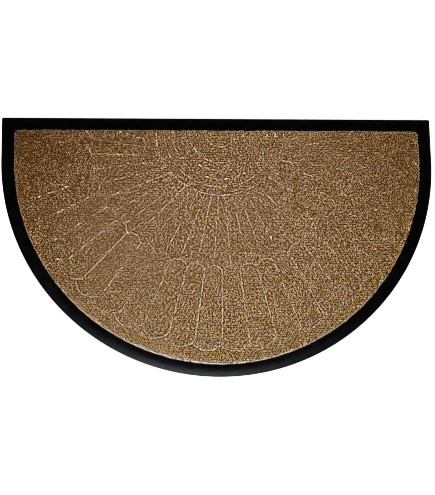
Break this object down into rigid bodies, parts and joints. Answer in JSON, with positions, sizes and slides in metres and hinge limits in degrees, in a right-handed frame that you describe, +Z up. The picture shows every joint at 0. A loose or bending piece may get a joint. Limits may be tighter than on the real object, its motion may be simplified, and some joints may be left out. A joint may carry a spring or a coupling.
{
  "type": "half-round coir doormat",
  "caption": "Half-round doormat: short brown coir pile, pressed with a shell-like fan, set in a black moulded rubber base with a bevelled border.",
  "frame": {"origin": "on the floor, under the middle of the mat's bounding box", "axes": "+X along the flat edge, +Y from the round end towards the flat edge, +Z up"},
  "size_m": [0.75, 0.45, 0.007],
  "materials": {
    "rubber": "matt black with a fine leathery grain",
    "coir": "short tweedy brown pile, paler where it is pressed"
  },
  "bodies": {
    "root": {"rubber_base": "rubber", "coir_pile": "coir"}
  },
  "joints": []
}
